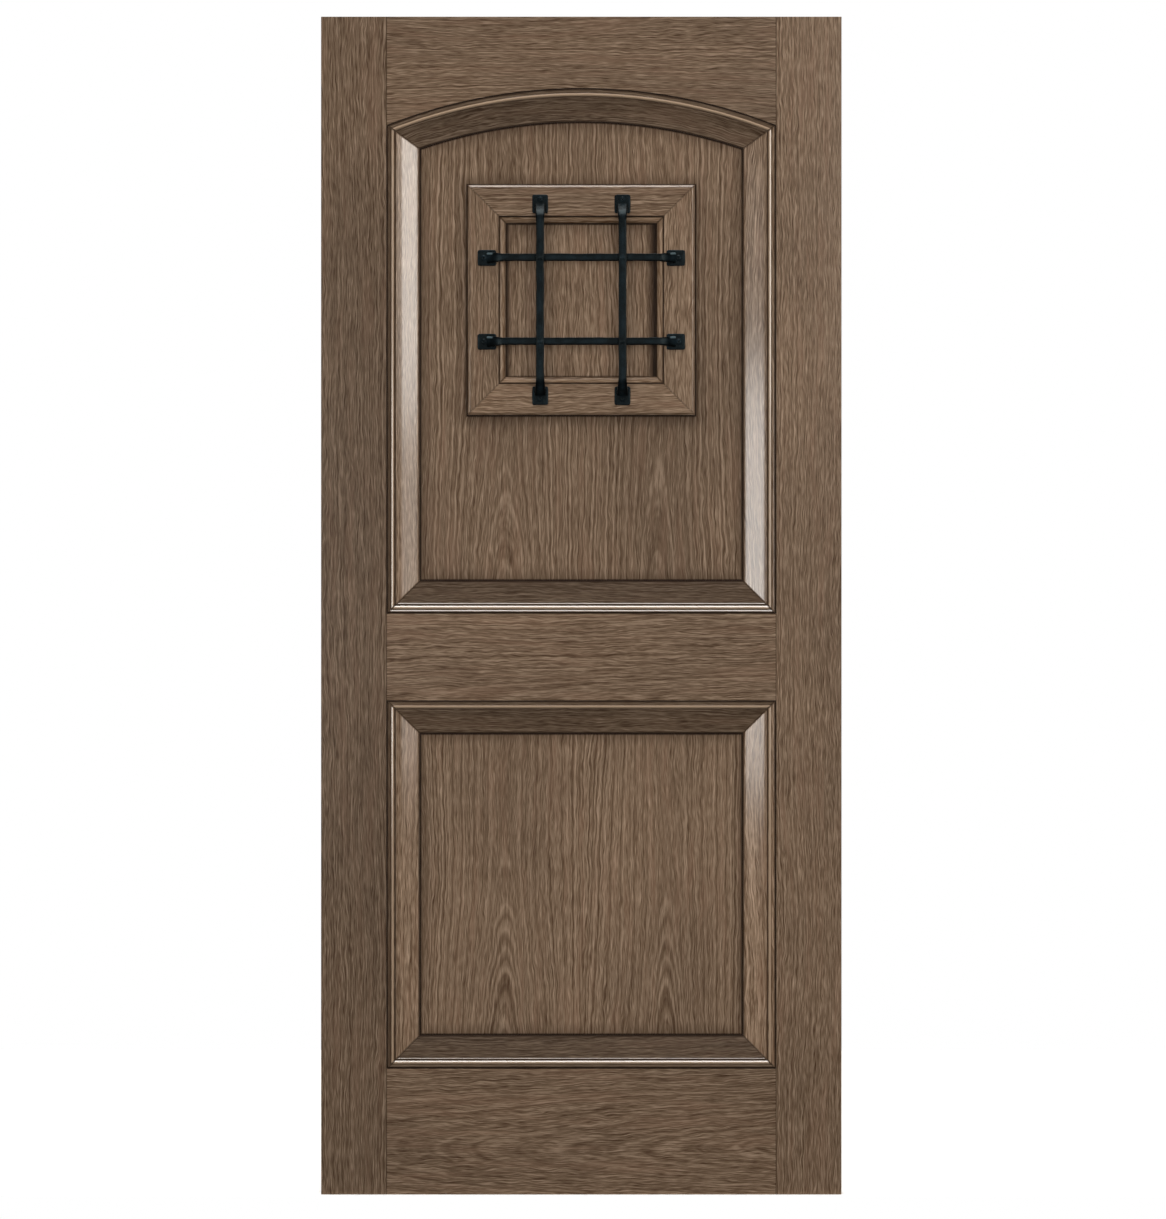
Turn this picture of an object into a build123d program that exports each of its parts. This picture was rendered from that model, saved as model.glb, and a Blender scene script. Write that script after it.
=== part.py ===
from build123d import *
import math
import os

os.makedirs("parts", exist_ok=True)

# Panelled oak door leaf with a small hatch behind an iron grille.
# Millimetres. X runs from the hinge edge to the lock edge, Y from the front face to the back,
# Z up from the foot of the leaf. The origin is at the foot of the hinge edge, in mid thickness.

# Leaf
door_width = 898.0
door_height = 2032.0
door_thickness = 44.5
stile_width = 113.0
bottom_rail_height = 217.0
lower_opening_height = 635.5
lock_rail_height = 149.5
top_rail_height = 123.0  # at the crown of the arch
arch_rise = 64.0
arris = 1.0  # eased corners of the leaf's faces

# Panels in the grooves of stiles and rails
panel_thickness = 16.5
groove_depth = 12.0
groove_fit = 0.3  # each side of a panel or tenon
panel_expansion = 3.0  # room for the panel at the foot of the groove
tenon_end_gap = 0.5

# Planted panel mouldings, from the frame's edge inwards
moulding_width = 57.0
moulding_fit = 0.3
mitre_gap = 0.2
outer_quirk_width = 2.3
ovolo_height = 13.4
ovolo_land = 1.6
bead_start = 8.3  # from the frame's edge
bead_width = 5.4
bead_height = 3.0
bead_lean = 0.4  # of its two short sides
bead_ridge = 3.0  # from its outer side
bead_outer_fall = 0.7  # from the ridge
bead_inner_fall = 1.5
inner_quirk_width = 1.6
fillet_width = 2.0
fillet_height = 12.2
cove_lip = 1.5
cove_sag = 1.8  # how far the cove lies below its chord

# Hatch, centred across the leaf
hatch_head_room = 87.3  # from the corners of the trim up to the arched moulding
hatch_width = 284.0
hatch_height = 289.0
liner_thickness = 9.0
liner_fit = 0.3
trim_width = 54.0
trim_thickness = 14.0
trim_chamfer = 4.5
stop_width = 12.0
stop_depth = 10.5
stop_setback = 1.75  # below the face of the trim
stop_nosing = 5.0  # height of the stop's inner edge
stop_bulge = 1.4  # of its rounded face, beyond the chord

# Shutter and its two butt hinges
shutter_thickness = 16.0
shutter_gap = 5.0
shutter_free_gap = 6.0  # at the edge that swings
shutter_seat_gap = 0.3
shutter_arris = 1.0
leaf_thickness = 1.6
leaf_reach = 22.0
leaf_height = 45.0
hinge_spacing = 170.0
barrel_radius = 2.8
barrel_clearance = 0.2
pin_radius = 1.3
pin_clearance = 0.08
knuckle_gap = 0.4
knob_radius = 11.0
knob_length = 24.0
knob_head_height = 12.0
knob_rim_height = 6.0  # from the neck up to the widest place
knob_face_radius = 7.0
knob_base_radius = 8.0
knob_neck_radius = 4.5
knob_inset = 24.0

# Grille
bar_width = 12.7
bar_thickness = 6.0
bar_chamfer = 0.9
grille_overhang = 37.2  # of a bar past the opening, at each end
bar_standoff = 12.0
crossing_gap = 0.2
pad_length = 32.0
pad_width = 26.0
pad_thickness = 3.0
leg_foot_inset = 16.0
leg_run = 17.0
leg_foot_width = 17.0
bend_radius = 20.0  # of the bar's centre line
bend_steps = 3
pad_chamfer = 0.8
rivet_radius = 2.5
rivet_clearance = 0.2
rivet_head_radius = 5.2
rivet_head_height = 1.5

# Places that follow from the sizes above
half_thickness = door_thickness / 2
half_panel = panel_thickness / 2
half_groove = half_panel + groove_fit
moulding_height = half_thickness - half_panel
quirk_height = moulding_height - bead_height
opening_left = stile_width
opening_right = door_width - stile_width
opening_half = (opening_right - opening_left) / 2
center_x = door_width / 2
lower_opening_bottom = bottom_rail_height
lower_opening_top = lower_opening_bottom + lower_opening_height
upper_opening_bottom = lower_opening_top + lock_rail_height
crown_height = door_height - top_rail_height
springing_height = crown_height - arch_rise
arch_radius = (opening_half**2 + arch_rise**2) / (2 * arch_rise)
arch_center_height = crown_height - arch_radius
panel_hold = groove_depth - panel_expansion
tenon_length = groove_depth - tenon_end_gap

hatch_left = center_x - hatch_width / 2
hatch_right = center_x + hatch_width / 2
trim_half_width = hatch_width / 2 + trim_width
moulding_above_trim = math.sqrt((arch_radius - moulding_width) ** 2 - trim_half_width**2)
hatch_top = arch_center_height + moulding_above_trim - hatch_head_room - trim_width
hatch_bottom = hatch_top - hatch_height
hatch_center_height = (hatch_bottom + hatch_top) / 2
trim_face = half_panel + trim_thickness  # distance of the trim's face from mid thickness
trim_overlap = trim_width - liner_thickness - liner_fit
stop_seat = trim_face - stop_setback - stop_depth
shutter_front = stop_seat - shutter_seat_gap
shutter_back = shutter_thickness - shutter_front
hinge_offset = barrel_radius + barrel_clearance
hinge_x = hatch_left + hinge_offset
hinge_y = shutter_back + hinge_offset


def block(x_low, x_high, y_low, y_high, z_low, z_high):
    corner = Align.MIN, Align.MIN, Align.MIN
    return Pos(x_low, y_low, z_low) * Box(x_high - x_low, y_high - y_low, z_high - z_low, align=corner)


def slab(face, y_low, y_high):
    """A face drawn in x and z, given its thickness from y_low to y_high."""
    return extrude(Plane.XZ.offset(-y_high) * face, y_high - y_low)


def outline(points):
    return make_face(Polyline(*points, close=True))


def rectangle(x_low, x_high, z_low, z_high):
    return outline([(x_low, z_low), (x_high, z_low), (x_high, z_high), (x_low, z_high)])


def arch_height_at(radius, half_span):
    """Height of the arc of this radius at half_span from the leaf's centre line."""
    return arch_center_height + math.sqrt(radius**2 - half_span**2)


def arched_outline(grow):
    """The upper opening, widened by grow on every side; its arcs share one centre."""
    half = opening_half + grow
    radius = arch_radius + grow
    shoulder = arch_height_at(radius, half)
    bottom = upper_opening_bottom - grow
    left, right = center_x - half, center_x + half
    sides = Polyline((left, shoulder), (left, bottom), (right, bottom), (right, shoulder))
    arc = ThreePointArc((right, shoulder), (center_x, arch_center_height + radius), (left, shoulder))
    return make_face(sides + arc)


def lower_outline(grow):
    return rectangle(
        opening_left - grow,
        opening_right + grow,
        lower_opening_bottom - grow,
        lower_opening_top + grow,
    )


def mirror_across(piece):
    return mirror(piece, about=Plane.YZ.offset(center_x))


def mirror_to_back(piece):
    return mirror(piece, about=Plane.XZ)


def long_upright_edges(piece, length):
    return piece.edges().filter_by(Axis.Z).filter_by(lambda edge: edge.length > length)


def stile():
    body = block(0, stile_width, -half_thickness, half_thickness, 0, door_height)
    outer = long_upright_edges(body, door_height / 2).group_by(Axis.X)[0]
    body = chamfer(outer, arris)
    groove = block(stile_width - groove_depth, stile_width, -half_groove, half_groove, 0, door_height)
    return body - groove


def tenons(z_low, z_high):
    left = block(opening_left - tenon_length, opening_left, -half_panel, half_panel, z_low, z_high)
    return left + mirror_across(left)


def rail(z_low, z_high, grooved):
    """A rail from stile to stile; grooved holds "bottom", "top" or both."""
    body = block(opening_left, opening_right, -half_thickness, half_thickness, z_low, z_high)
    tenon_low, tenon_high = z_low, z_high
    if "bottom" in grooved:
        tenon_low = z_low + groove_depth
        body -= block(opening_left, opening_right, -half_groove, half_groove, z_low, tenon_low)
    if "top" in grooved:
        tenon_high = z_high - groove_depth
        body -= block(opening_left, opening_right, -half_groove, half_groove, tenon_high, z_high)
    return body + tenons(tenon_low, tenon_high)


def top_rail():
    body = block(
        opening_left, opening_right, -half_thickness, half_thickness, springing_height, door_height
    )
    body -= slab(arched_outline(0), -half_thickness, half_thickness)
    body -= slab(arched_outline(groove_depth), -half_groove, half_groove)
    tenon_low = arch_height_at(arch_radius + groove_depth, opening_half)
    return body + tenons(tenon_low, door_height)


def upper_panel():
    panel = slab(arched_outline(panel_hold), -half_panel, half_panel)
    around = liner_thickness + liner_fit
    cut_out = block(
        hatch_left - around,
        hatch_right + around,
        -half_panel,
        half_panel,
        hatch_bottom - around,
        hatch_top + around,
    )
    return panel - cut_out


def moulding_profile():
    """Section of the panel moulding: x from the frame's edge inwards, y out from the panel."""
    ovolo_start = outer_quirk_width + ovolo_land
    bead_end = bead_start + bead_width
    fillet_start = bead_end + inner_quirk_width
    cove_start = fillet_start + fillet_width
    outer = Polyline(
        (moulding_fit, 0),
        (moulding_fit, quirk_height),
        (outer_quirk_width, quirk_height),
        (outer_quirk_width, ovolo_height),
        (ovolo_start, ovolo_height),
        (bead_start, quirk_height),
    )
    bead = Polyline(
        (bead_start, quirk_height),
        (bead_start + bead_lean, moulding_height - bead_outer_fall),
        (bead_start + bead_ridge, moulding_height),
        (bead_end - bead_lean, moulding_height - bead_inner_fall),
        (bead_end, quirk_height),
    )
    quirk = Polyline(
        (bead_end, quirk_height),
        (fillet_start, quirk_height),
        (fillet_start, fillet_height),
        (cove_start, fillet_height),
    )
    cove = SagittaArc((cove_start, fillet_height), (moulding_width, cove_lip), -cove_sag)
    base = Polyline((moulding_width, cove_lip), (moulding_width, 0), (moulding_fit, 0))
    return make_face(outer + bead + quirk + cove + base)


def trim_profile(width):
    """Flat casing, chamfered along its outer edge."""
    return outline(
        [
            (0, 0),
            (0, trim_thickness - trim_chamfer),
            (trim_chamfer, trim_thickness),
            (width, trim_thickness),
            (width, 0),
        ]
    )


def stop_profile():
    """Stop bead, rounded from its full depth at the trim to its nosing."""
    front = SagittaArc((liner_fit, stop_depth), (stop_width, stop_nosing), stop_bulge)
    back = Polyline((liner_fit, stop_depth), (liner_fit, 0), (stop_width, 0), (stop_width, stop_nosing))
    return make_face(front + back)


def straight_run(profile, start, inward, length, seat):
    """The profile carried along one side; inward points from the edge towards the middle."""
    start_point = Vector(start[0], -seat, start[1])
    across = Vector(inward[0], 0, inward[1])
    side = Plane(origin=start_point, x_dir=across, z_dir=across.cross(Vector(0, -1, 0)))
    return extrude(side * profile, length)


def between_mitres(piece, start_outer, start_inner, end_outer, end_inner):
    """Cut both ends of a run along the lines from its outer to its inner corners."""
    along = (Vector(*end_outer) - Vector(*start_outer)).normalized() * (mitre_gap / 2)
    outward_reach, inward_reach = 3.0, 0.1
    corners = []
    for outer, inner, shift in ((start_outer, start_inner, along), (end_outer, end_inner, -along)):
        outer, inner = Vector(*outer), Vector(*inner)
        far = outer + (outer - inner) * outward_reach + shift
        near = inner + (inner - outer) * inward_reach + shift
        corners.append((far, near))
    (start_far, start_near), (end_far, end_near) = corners
    region = outline([(point.X, point.Y) for point in (start_far, start_near, end_near, end_far)])
    return piece & slab(region, -door_thickness, door_thickness)


def mitred_ring(profile, width, left, right, bottom, top, seat):
    """Four mitred sides round a rectangle, named left, right, top and bottom."""
    outer = [(left, bottom), (right, bottom), (right, top), (left, top)]
    inner = [
        (left + width, bottom + width),
        (right - width, bottom + width),
        (right - width, top - width),
        (left + width, top - width),
    ]
    inward = {"bottom": (0, 1), "right": (-1, 0), "top": (0, -1), "left": (1, 0)}
    pieces = {}
    for index, name in enumerate(inward):
        after = (index + 1) % len(outer)
        length = math.dist(outer[index], outer[after])
        run = straight_run(profile, outer[index], inward[name], length, seat)
        pieces[name] = between_mitres(run, outer[index], inner[index], outer[after], inner[after])
    return pieces


def arched_run(profile, seat):
    """The profile carried along the arch, from springing to springing."""
    half_angle = math.degrees(math.asin(opening_half / arch_radius))
    section = Plane(origin=(center_x, -seat, crown_height), x_dir=(0, 0, -1), z_dir=(-1, 0, 0)) * profile
    axis = Axis((center_x, 0, arch_center_height), (0, 1, 0))
    return revolve(section.rotate(axis, -half_angle), axis, 2 * half_angle)


def arched_ring(profile, width, seat):
    """Mitred sides round the upper opening, the top one following the arch."""
    pieces = mitred_ring(
        profile, width, opening_left, opening_right, upper_opening_bottom, crown_height, seat
    )
    inner_shoulder = arch_height_at(arch_radius - width, opening_half - width)
    left_mitre = (opening_left, springing_height), (opening_left + width, inner_shoulder)
    right_mitre = (opening_right, springing_height), (opening_right - width, inner_shoulder)
    foot_left = (opening_left, upper_opening_bottom), (opening_left + width, upper_opening_bottom + width)
    foot_right = (opening_right, upper_opening_bottom), (opening_right - width, upper_opening_bottom + width)
    height = crown_height - upper_opening_bottom
    left = straight_run(profile, (opening_left, crown_height), (1, 0), height, seat)
    right = straight_run(profile, (opening_right, upper_opening_bottom), (-1, 0), height, seat)
    pieces["left"] = between_mitres(left, *left_mitre, *foot_left)
    pieces["right"] = between_mitres(right, *foot_right, *right_mitre)
    pieces["top"] = between_mitres(arched_run(profile, seat), *right_mitre, *left_mitre)
    return pieces


def liner_boards():
    """Side boards run the full height; head and sill stand between them."""
    front, back = -half_panel, trim_face
    low, high = hatch_bottom - liner_thickness, hatch_top + liner_thickness
    left = block(hatch_left - liner_thickness, hatch_left, front, back, low, high)
    sill = block(hatch_left, hatch_right, front, back, low, hatch_bottom)
    head = block(hatch_left, hatch_right, front, back, hatch_top, high)
    return [left, mirror_across(left)], [sill, head]


def shutter():
    board = block(
        hatch_left + shutter_gap,
        hatch_right - shutter_free_gap,
        -shutter_front,
        shutter_back,
        hatch_bottom + shutter_gap,
        hatch_top - shutter_gap,
    )
    return chamfer(board.faces().sort_by(Axis.Y)[0].edges(), shutter_arris)


def on_hinge_axis(radius, z_low, z_high):
    return Pos(hinge_x, hinge_y, (z_low + z_high) / 2) * Cylinder(radius, z_high - z_low)


def hinge_parts(center_height):
    """Loose-joint hinge: the moving leaf's knuckle stands over the fixed one, on the pin."""
    low, high = center_height - leaf_height / 2, center_height + leaf_height / 2
    fixed_top, moving_foot = center_height - knuckle_gap / 2, center_height + knuckle_gap / 2
    clear_of_barrel = hinge_y + barrel_radius
    bore = on_hinge_axis(pin_radius + pin_clearance, low, high)

    fixed_edge = hatch_left + leaf_thickness
    fixed = block(hatch_left, fixed_edge, clear_of_barrel, trim_face - leaf_thickness, low, high)
    fixed += block(hatch_left, fixed_edge, hinge_y, clear_of_barrel, low, fixed_top)
    fixed += on_hinge_axis(barrel_radius, low, fixed_top)

    clear_x = hinge_x + barrel_radius
    moving_edge = shutter_back + leaf_thickness
    moving = block(clear_x, clear_x + leaf_reach, shutter_back, moving_edge, low, high)
    moving += block(hinge_x, clear_x, shutter_back, moving_edge, moving_foot, high)
    moving += on_hinge_axis(barrel_radius, moving_foot, high)
    return fixed - bore, moving - bore, on_hinge_axis(pin_radius, low, high)


def knob():
    """Turned pull: tapered neck, flared head and bevelled face, revolved about its own axis."""
    head_start = knob_length - knob_head_height
    half_section = outline(
        [
            (0, 0),
            (knob_base_radius, 0),
            (knob_neck_radius, head_start),
            (knob_radius, head_start + knob_rim_height),
            (knob_face_radius, knob_length),
            (0, knob_length),
        ]
    )
    turned = revolve(half_section, Axis.Y)
    return Pos(hatch_right - shutter_free_gap - knob_inset, shutter_back, hatch_center_height) * turned


def bar_stations(length, standoff):
    """From a bar's middle to its foot: place along it, distance from the trim, angle and thickness.

    The centre line runs level, turns down through the bend and slants to the pad; the last
    station lies level with the pad, halfway into it, where the weld is.
    """
    middle = standoff + bar_thickness / 2
    foot_outer = length / 2 - leg_foot_inset
    slope = math.atan2(standoff + bar_thickness - pad_thickness, leg_run)
    foot = foot_outer - bar_thickness / 2 / math.sin(slope)
    knee = foot - (middle - pad_thickness) / math.tan(slope)
    bend_start = knee - bend_radius * math.tan(slope / 2)
    stations = []
    for step in range(bend_steps + 1):
        angle = slope * step / bend_steps
        along = bend_start + bend_radius * math.sin(angle)
        away = middle - bend_radius * (1 - math.cos(angle))
        stations.append((along, away, -angle, bar_thickness))
    sink = pad_thickness / 2
    sunk_foot = foot + sink / math.tan(slope)
    stations.append((sunk_foot, pad_thickness - sink, -math.pi / 2, bar_thickness / math.sin(slope)))
    return stations


def bar_section(width, thickness):
    """The bar's section, chamfered on its four corners."""
    across, deep = width / 2, thickness / 2
    corner = [(across - bar_chamfer, deep), (across, deep - bar_chamfer)]
    right = corner + [(x, -y) for x, y in reversed(corner)]
    return outline(right + [(-x, y) for x, y in reversed(right)])


def grille_bar(length, standoff, crossings):
    """One forged bar lying along X, with its two slanted legs and pads; the pads' seat is y = 0."""
    right = bar_stations(length, standoff)
    left = [(-along, away, -angle, thickness) for along, away, angle, thickness in reversed(right)]
    bend_end, foot = right[0][0], right[-1][0]
    sections = []
    for along, away, angle, thickness in left + right:
        flare = (abs(along) - bend_end) / (foot - bend_end) * (leg_foot_width - bar_width)
        travel = (math.cos(angle), -math.sin(angle), 0)
        station = Plane(origin=(along, -away, 0), x_dir=(0, 0, 1), z_dir=travel)
        sections.append(station * bar_section(bar_width + flare, thickness))
    bar = loft(sections, ruled=True)
    pad_start = length / 2 - pad_length
    pad = block(pad_start, length / 2, -pad_thickness, 0, -pad_width / 2, pad_width / 2)
    pad = chamfer(pad.faces().sort_by(Axis.Y)[0].edges(), pad_chamfer)
    bar += pad + mirror(pad, about=Plane.YZ)
    for x in crossings:
        hole = Cylinder(rivet_radius + rivet_clearance, 3 * bar_thickness, rotation=(90, 0, 0))
        bar -= Pos(x, -standoff - bar_thickness / 2, 0) * hole
    return bar


def rivet():
    """Headed at both ends, through both bars; y = 0 is the face of the trim."""
    back = bar_standoff - rivet_clearance
    middle = bar_standoff + bar_thickness + crossing_gap / 2
    reach = middle - back
    end = reach + rivet_head_height
    front_half = [(rivet_radius, reach), (rivet_head_radius, reach), (rivet_head_radius, end), (0, end)]
    back_half = [(radius, -height) for radius, height in reversed(front_half)]
    return Pos(0, -middle, 0) * revolve(outline(front_half + back_half), Axis.Y)


def write(name, *solids):
    shape = solids[0] if len(solids) == 1 else Compound(children=list(solids))
    export_step(shape, os.path.join("parts", name + ".step"))


def write_frame():
    left = stile()
    write("left_stile", left)
    write("right_stile", mirror_across(left))
    write("bottom_rail", rail(0, bottom_rail_height, ["top"]))
    write("lock_rail", rail(lower_opening_top, upper_opening_bottom, ["bottom", "top"]))
    write("top_rail", top_rail())
    write("lower_panel", slab(lower_outline(panel_hold), -half_panel, half_panel))
    write("upper_panel", upper_panel())


def write_mouldings():
    profile = moulding_profile()
    lower = mitred_ring(
        profile,
        moulding_width,
        opening_left,
        opening_right,
        lower_opening_bottom,
        lower_opening_top,
        half_panel,
    )
    upper = arched_ring(profile, moulding_width, half_panel)
    for place, ring in (("upper", upper), ("lower", lower)):
        for side, piece in ring.items():
            write(f"front_{place}_moulding_{side}", piece)
        back = {side: mirror_to_back(piece) for side, piece in ring.items()}
        write(f"back_{place}_moulding_sides", back["left"], back["right"])
        write(f"back_{place}_moulding_cross", back["top"], back["bottom"])


def write_hatch():
    casing = (
        hatch_left - trim_width,
        hatch_right + trim_width,
        hatch_bottom - trim_width,
        hatch_top + trim_width,
    )
    trim = mitred_ring(trim_profile(trim_width), trim_width, *casing, half_panel)
    for side, piece in trim.items():
        write(f"hatch_trim_{side}", piece)
    ring = mitred_ring(trim_profile(trim_overlap), trim_overlap, *casing, half_panel)
    back = {side: mirror_to_back(piece) for side, piece in ring.items()}
    write("back_hatch_trim_sides", back["left"], back["right"])
    write("back_hatch_trim_cross", back["top"], back["bottom"])
    stops = mitred_ring(
        stop_profile(), stop_width, hatch_left, hatch_right, hatch_bottom, hatch_top, stop_seat
    )
    write("hatch_stop_bead_sides", stops["left"], stops["right"])
    write("hatch_stop_bead_cross", stops["top"], stops["bottom"])
    sides, cross = liner_boards()
    write("hatch_liner_sides", *sides)
    write("hatch_liner_cross", *cross)


def write_shutter():
    write("hatch_shutter", shutter())
    write("hatch_knob", knob())
    heights = [hatch_center_height - hinge_spacing / 2, hatch_center_height + hinge_spacing / 2]
    fixed, moving, pins = zip(*[hinge_parts(height) for height in heights])
    write("hatch_hinge_fixed_leaves", *fixed)
    write("hatch_hinge_moving_leaves", *moving)
    write("hatch_hinge_pins", *pins)


def write_grille():
    to_trim = Pos(center_x, -trim_face, hatch_center_height)
    across = [-hatch_width / 4, hatch_width / 4]
    up = [-hatch_height / 4, hatch_height / 4]
    lying = grille_bar(hatch_width + 2 * grille_overhang, bar_standoff, across)
    over = bar_standoff + bar_thickness + crossing_gap
    standing = grille_bar(hatch_height + 2 * grille_overhang, over, up).rotate(Axis.Y, 90)
    for name, z in zip(("lower", "upper"), up):
        write(f"grille_bar_horizontal_{name}", to_trim * Pos(0, 0, z) * lying)
    for name, x in zip(("left", "right"), across):
        write(f"grille_bar_vertical_{name}", to_trim * Pos(x, 0, 0) * standing)
    write("grille_rivets", *[to_trim * Pos(x, 0, z) * rivet() for x in across for z in up])


write_frame()
write_mouldings()
write_hatch()
write_shutter()
write_grille()
print("hinge axis of the shutter", round(hinge_x, 2), round(hinge_y, 2), hatch_center_height)
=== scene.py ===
import bmesh
import bpy
import numpy as np
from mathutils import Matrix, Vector


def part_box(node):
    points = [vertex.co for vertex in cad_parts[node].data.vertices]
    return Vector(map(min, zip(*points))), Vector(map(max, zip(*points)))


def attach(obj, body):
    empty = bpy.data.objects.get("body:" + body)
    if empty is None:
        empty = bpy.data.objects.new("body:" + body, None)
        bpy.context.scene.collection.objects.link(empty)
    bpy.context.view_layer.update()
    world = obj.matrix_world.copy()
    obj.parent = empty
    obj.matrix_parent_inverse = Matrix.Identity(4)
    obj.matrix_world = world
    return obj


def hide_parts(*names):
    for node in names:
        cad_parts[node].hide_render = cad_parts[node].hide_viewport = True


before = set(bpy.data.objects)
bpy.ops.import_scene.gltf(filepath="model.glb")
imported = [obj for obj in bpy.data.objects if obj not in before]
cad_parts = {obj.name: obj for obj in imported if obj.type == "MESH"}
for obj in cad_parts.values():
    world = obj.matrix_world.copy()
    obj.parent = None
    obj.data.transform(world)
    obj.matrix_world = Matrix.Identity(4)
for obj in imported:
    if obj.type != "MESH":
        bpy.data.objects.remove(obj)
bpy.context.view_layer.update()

mm = 0.001
turn = 2 * np.pi
fit = 0.3  # mm between a moulding or bead and its seat


# Low and high corner of a node's box, in metres
def boxOf(node):
    return np.array([list(corner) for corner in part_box(node)])


# Places read from the frame, in metres: x across, y to the back, z up
leafFace = boxOf("left_stile")[:, 1]  # front and back face of the leaf
panelFace = boxOf("lower_panel")[:, 1]
openingLeft = boxOf("left_stile")[1, 0]
openingRight = boxOf("right_stile")[0, 0]
lowerFoot = boxOf("bottom_rail")[1, 2]
lowerHead, upperFoot = boxOf("lock_rail")[:, 2]
springing = boxOf("top_rail")[0, 2]
crown = boxOf("front_upper_moulding_top")[1, 2] + fit * mm
trimLow, trimHigh = boxOf("hatch_trim_left")[0], boxOf("hatch_trim_right")[1]
stopLow, stopHigh = boxOf("hatch_stop_bead_sides")
mouldingWidth = 57.0 * mm
print("frame read:", len(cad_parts), "nodes")

arch = {"halfSpan": (openingRight - openingLeft) / 2, "rise": crown - springing}
arch["radius"] = (arch["halfSpan"] ** 2 + arch["rise"] ** 2) / (2 * arch["rise"])
arch["centre"] = np.array([(openingLeft + openingRight) / 2, crown - arch["radius"]])


# Faces of a grid: each cell joins its four neighbours, with the last row or column led back to the first
def gridFaces(rows, cols, wrapRows, wrapCols):
    row, col = np.indices((rows if wrapRows else rows - 1, cols if wrapCols else cols - 1))
    nextRow, nextCol = (row + 1) % rows, (col + 1) % cols
    corners = [row * cols + col, row * cols + nextCol, nextRow * cols + nextCol, nextRow * cols + col]
    return np.stack(corners, axis=-1).reshape(-1, 4)


# One part of a piece: a grid of places in metres, its grain map (along, across) and its darkening: dark
# joints and painted shade, 1 the deepest, and below 0 a painted highlight on the wood or iron
def gridPart(places, grain=None, paintedLightAndJoints=None, wrapRows=False, wrapCols=True, capped=True):
    rows, cols = places.shape[:2]
    faces = gridFaces(rows, cols, wrapRows, wrapCols).tolist()
    if capped:
        faces += [list(range(cols)), list(range((rows - 1) * cols, rows * cols))]
    count = rows * cols
    grain = np.zeros((count, 2)) if grain is None else grain.reshape(-1, 2)
    paintedLightAndJoints = np.zeros(count) if paintedLightAndJoints is None else np.broadcast_to(paintedLightAndJoints, (rows, cols)).reshape(-1)
    return places.reshape(-1, 3), faces, grain, paintedLightAndJoints


# Several parts joined to one object, whose place is in its mesh; edges steeper than sharpFrom stay sharp
def makePiece(name, parts, material, body, replaced=(), sharpFrom=38, weldWithin=1e-6):
    places, faceLists, grains, paintedLightsAndJoints = zip(*parts)
    firsts = np.cumsum([0] + [len(part) for part in places])
    shifted = [(part, int(first)) for part, first in zip(faceLists, firsts)]
    faces = [[corner + first for corner in face] for part, first in shifted for face in part]
    mesh = bpy.data.meshes.new(name)
    mesh.from_pydata(np.concatenate(places).tolist(), [], faces)
    paintedLightAndJoints = mesh.attributes.new("paintedLightAndJoints", "FLOAT", "POINT")
    paintedLightAndJoints.data.foreach_set("value", np.concatenate(paintedLightsAndJoints).astype(np.float32))
    corners = np.empty(len(mesh.loops), dtype=np.int32)
    mesh.loops.foreach_get("vertex_index", corners)
    grain = np.concatenate(grains)[corners]
    mesh.uv_layers.new(name="grain").data.foreach_set("uv", grain.astype(np.float32).ravel())
    shell = bmesh.new()
    shell.from_mesh(mesh)
    bmesh.ops.remove_doubles(shell, verts=shell.verts, dist=weldWithin)
    bmesh.ops.recalc_face_normals(shell, faces=shell.faces)
    shell.to_mesh(mesh)
    shell.free()
    mesh.shade_smooth()
    mesh.set_sharp_from_angle(angle=np.radians(sharpFrom))
    mesh.materials.append(material)
    piece = bpy.data.objects.new(name, mesh)
    bpy.context.scene.collection.objects.link(piece)
    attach(piece, body)
    if replaced:
        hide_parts(*replaced)
    return piece


# Drawn outlines, in mm: closer points are one, and a straight over "longFrom" gets guard points
outline = {"curveSteps": 5, "closest": 0.004, "longFrom": 2.0, "guard": 0.2}


# Outline with eased corners: each corner becomes a parabola from "ease" before it to "ease" after it
def easedOutline(corners, ease):
    corners, ease = np.array(corners, dtype=float), np.array(ease, dtype=float)[:, None]
    steps = [np.roll(corners, shift, axis=0) - corners for shift in (1, -1)]
    enter, leave = (corners + step / np.linalg.norm(step, axis=1, keepdims=True) * ease for step in steps)
    t = np.linspace(0, 1, outline["curveSteps"])[None, :, None]
    curve = (1 - t) ** 2 * enter[:, None] + 2 * t * (1 - t) * corners[:, None] + t**2 * leave[:, None]
    points = curve.reshape(-1, 2)
    apart = np.linalg.norm(points - np.roll(points, 1, axis=0), axis=1)
    return flatShaded(points[apart > outline["closest"]])


# A long straight gets a point close to each of its ends, so that its shading stays flat
def flatShaded(points):
    step = np.roll(points, -1, axis=0) - points
    length = np.linalg.norm(step, axis=1, keepdims=True)
    share = outline["guard"] / np.maximum(length, outline["longFrom"])
    tripled = np.stack([points, points + step * share, points + step * (1 - share)], axis=1)
    isLong = length > outline["longFrom"]
    kept = np.concatenate([length > 0, isLong, isLong], axis=1)
    kept[-1, 1:] = False
    return tripled[kept]


# Gentle unevenness of about -1 to 1: a gain times the mean of sine waves of seeded lengths and phases
def unevenness(places, shortest, longest, seed, waves=6, gain=1.8):
    pick = np.random.default_rng(seed)
    lengths, phases = pick.uniform(shortest, longest, waves), pick.uniform(0, turn, waves)
    return np.sin(np.asarray(places)[..., None] * turn / lengths + phases).mean(axis=-1) * gain


# A colour is written as it looks on screen, from 0 to 255, and made linear by the screen's curve
def paint(red, green, blue):
    shade = np.array([red, green, blue]) / 255
    linear = np.where(shade <= 0.04045, shade / 12.92, ((shade + 0.055) / 1.055) ** 2.4)
    return (*linear.tolist(), 1.0)


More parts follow.
